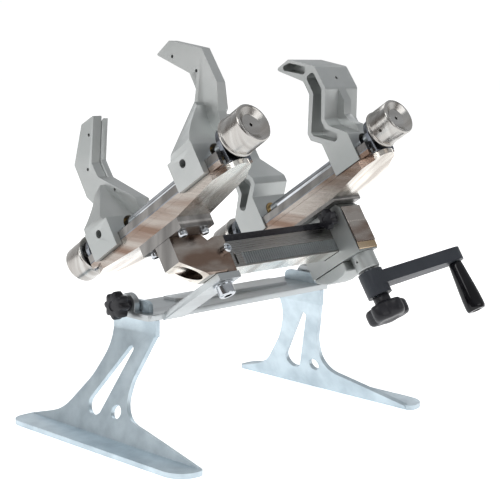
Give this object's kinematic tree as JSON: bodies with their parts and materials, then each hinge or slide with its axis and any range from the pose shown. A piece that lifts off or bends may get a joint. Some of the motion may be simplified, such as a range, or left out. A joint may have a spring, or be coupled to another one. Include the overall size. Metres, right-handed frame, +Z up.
{
  "type": "pipe alignment and pushing jig",
  "caption": "Bench jig that holds and aligns two plastic pipes for socket welding: self-centring V vices on a beam, one moved by rack, pinion and crank.",
  "frame": {"origin": "on the floor, midway between the two feet", "axes": "+X along the clamped pipe, from the fixed vice towards the moving one; +Z up; -Y towards the crank's side"},
  "size_m": [0.366, 0.3241, 0.3821],
  "materials": {
    "zinc_plate": "pale blue zinc, satin",
    "grey_steel": "satin",
    "polished_aluminium": "polished, fine milling lines",
    "milled_aluminium": "milled",
    "turned_aluminium": "turned and polished",
    "dark_rail": "black",
    "satin_aluminium": "satin",
    "black_plastic": "moulded",
    "slate_paint": "matt slate black",
    "gloss_black": "gloss",
    "chrome": "bright",
    "bronze": "plain"
  },
  "bodies": {
    "frame": {"base_bar": "grey_steel", "left_leg": "zinc_plate", "right_leg": "zinc_plate", "bracket_screw": "chrome", "head_block": "polished_aluminium", "head_screw": "chrome", "guide_beam": "milled_aluminium", "rack": "grey_steel", "beam_rail": "dark_rail", "beam_end_stop": "grey_steel", "left_vice_body": "polished_aluminium", "left_vice_rail_front": "grey_steel", "left_vice_rail_back": "grey_steel", "left_vice_end_plate_upper": "grey_steel", "left_vice_end_plate_lower": "grey_steel", "vice_screw_a": "chrome", "vice_screw_b": "chrome", "vice_screw_c": "chrome", "vice_screw_d": "chrome"},
    "left_clamp": {"left_clamp_knob": "black_plastic", "left_clamp_knob_stud": "grey_steel"},
    "right_clamp": {"right_clamp_knob": "black_plastic", "right_clamp_knob_stud": "grey_steel"},
    "carriage": {"carriage_body": "satin_aluminium", "carriage_keeper": "satin_aluminium", "gear_cover": "polished_aluminium", "shaft_bush": "satin_aluminium", "right_vice_body": "polished_aluminium", "right_vice_rail_front": "grey_steel", "right_vice_rail_back": "grey_steel", "right_vice_end_plate_upper": "grey_steel", "right_vice_end_plate_lower": "grey_steel"},
    "crank": {"pinion": "grey_steel", "pinion_shaft": "grey_steel", "crank_arm": "slate_paint", "grip_pin": "grey_steel"},
    "crank_clamp": {"crank_knob": "black_plastic"},
    "grip": {"crank_grip": "gloss_black"},
    "carriage_lock": {"lock_knob": "black_plastic", "lock_stud": "grey_steel"},
    "left_screw": {"left_vice_spindle": "chrome", "left_vice_knob_upper": "turned_aluminium", "left_vice_knob_lower": "turned_aluminium"},
    "left_upper_jaw": {"left_jaw_upper": "satin_aluminium", "left_nut_upper": "bronze", "left_grip_upper": "satin_aluminium"},
    "left_lower_jaw": {"left_jaw_lower": "satin_aluminium", "left_nut_lower": "bronze", "left_grip_lower": "satin_aluminium"},
    "right_screw": {"right_vice_spindle": "chrome", "right_vice_knob_upper": "turned_aluminium", "right_vice_knob_lower": "turned_aluminium"},
    "right_upper_jaw": {"right_jaw_upper": "satin_aluminium", "right_nut_upper": "bronze"},
    "right_lower_jaw": {"right_jaw_lower": "satin_aluminium", "right_nut_lower": "bronze"}
  },
  "joints": [
    {"name": "left_clamp_turn", "type": "hinge", "parent": "frame", "child": "left_clamp", "pos_m": [-0.14, 0, 0.133], "axis": [-1, 0, 0], "range_deg": [-180, 180]},
    {"name": "right_clamp_turn", "type": "hinge", "parent": "frame", "child": "right_clamp", "pos_m": [0.14, 0, 0.133], "axis": [1, 0, 0], "range_deg": [-180, 180]},
    {"name": "carriage_slide", "type": "slide", "parent": "frame", "child": "carriage", "axis": [1, 0, 0], "range_m": [-0.13, 0.011]},
    {"name": "crank_turn", "type": "hinge", "parent": "carriage", "child": "crank", "pos_m": [0.0792, -0.1111, 0.18055], "axis": [0, 0.5519, 0.8339], "range_deg": [-621, 53]},
    {"name": "crank_clamp_turn", "type": "hinge", "parent": "crank", "child": "crank_clamp", "pos_m": [0.0792, -0.15112, 0.1201], "axis": [0, -0.5519, -0.8339], "range_deg": [-180, 180]},
    {"name": "grip_spin", "type": "hinge", "parent": "crank", "child": "grip", "pos_m": [0.16802, -0.18012, 0.14229], "axis": [0, -0.5519, -0.8339], "continuous": true},
    {"name": "carriage_lock_turn", "type": "hinge", "parent": "carriage", "child": "carriage_lock", "pos_m": [0.0525, -0.09265, 0.20899], "axis": [-1, 0, 0], "range_deg": [-180, 180]},
    {"name": "left_screw_turn", "type": "hinge", "parent": "frame", "child": "left_screw", "pos_m": [-0.1305, -0.04645, 0.23838], "axis": [0, -0.8339, 0.5519], "range_deg": [-990, 3420]},
    {"name": "left_upper_jaw_slide", "type": "slide", "parent": "frame", "child": "left_upper_jaw", "axis": [0, 0.8339, -0.5519], "range_m": [-0.0112, 0.0382]},
    {"name": "left_lower_jaw_slide", "type": "slide", "parent": "frame", "child": "left_lower_jaw", "axis": [0, -0.8339, 0.5519], "range_m": [-0.0112, 0.0382]},
    {"name": "right_screw_turn", "type": "hinge", "parent": "carriage", "child": "right_screw", "pos_m": [0.072, -0.04645, 0.23838], "axis": [0, -0.8339, 0.5519], "range_deg": [-990, 3420]},
    {"name": "right_upper_jaw_slide", "type": "slide", "parent": "carriage", "child": "right_upper_jaw", "axis": [0, 0.8339, -0.5519], "range_m": [-0.0112, 0.0382]},
    {"name": "right_lower_jaw_slide", "type": "slide", "parent": "carriage", "child": "right_lower_jaw", "axis": [0, -0.8339, 0.5519], "range_m": [-0.0112, 0.0382]}
  ],
  "couplings": [
    {"joint": "crank_turn", "follows": "carriage_slide", "rad_per_m": 83.333},
    {"joint": "left_upper_jaw_slide", "follows": "left_screw_turn", "m_per_rad": 0.00063662},
    {"joint": "left_lower_jaw_slide", "follows": "left_screw_turn", "m_per_rad": 0.00063662},
    {"joint": "right_upper_jaw_slide", "follows": "right_screw_turn", "m_per_rad": 0.00063662},
    {"joint": "right_lower_jaw_slide", "follows": "right_screw_turn", "m_per_rad": 0.00063662}
  ]
}
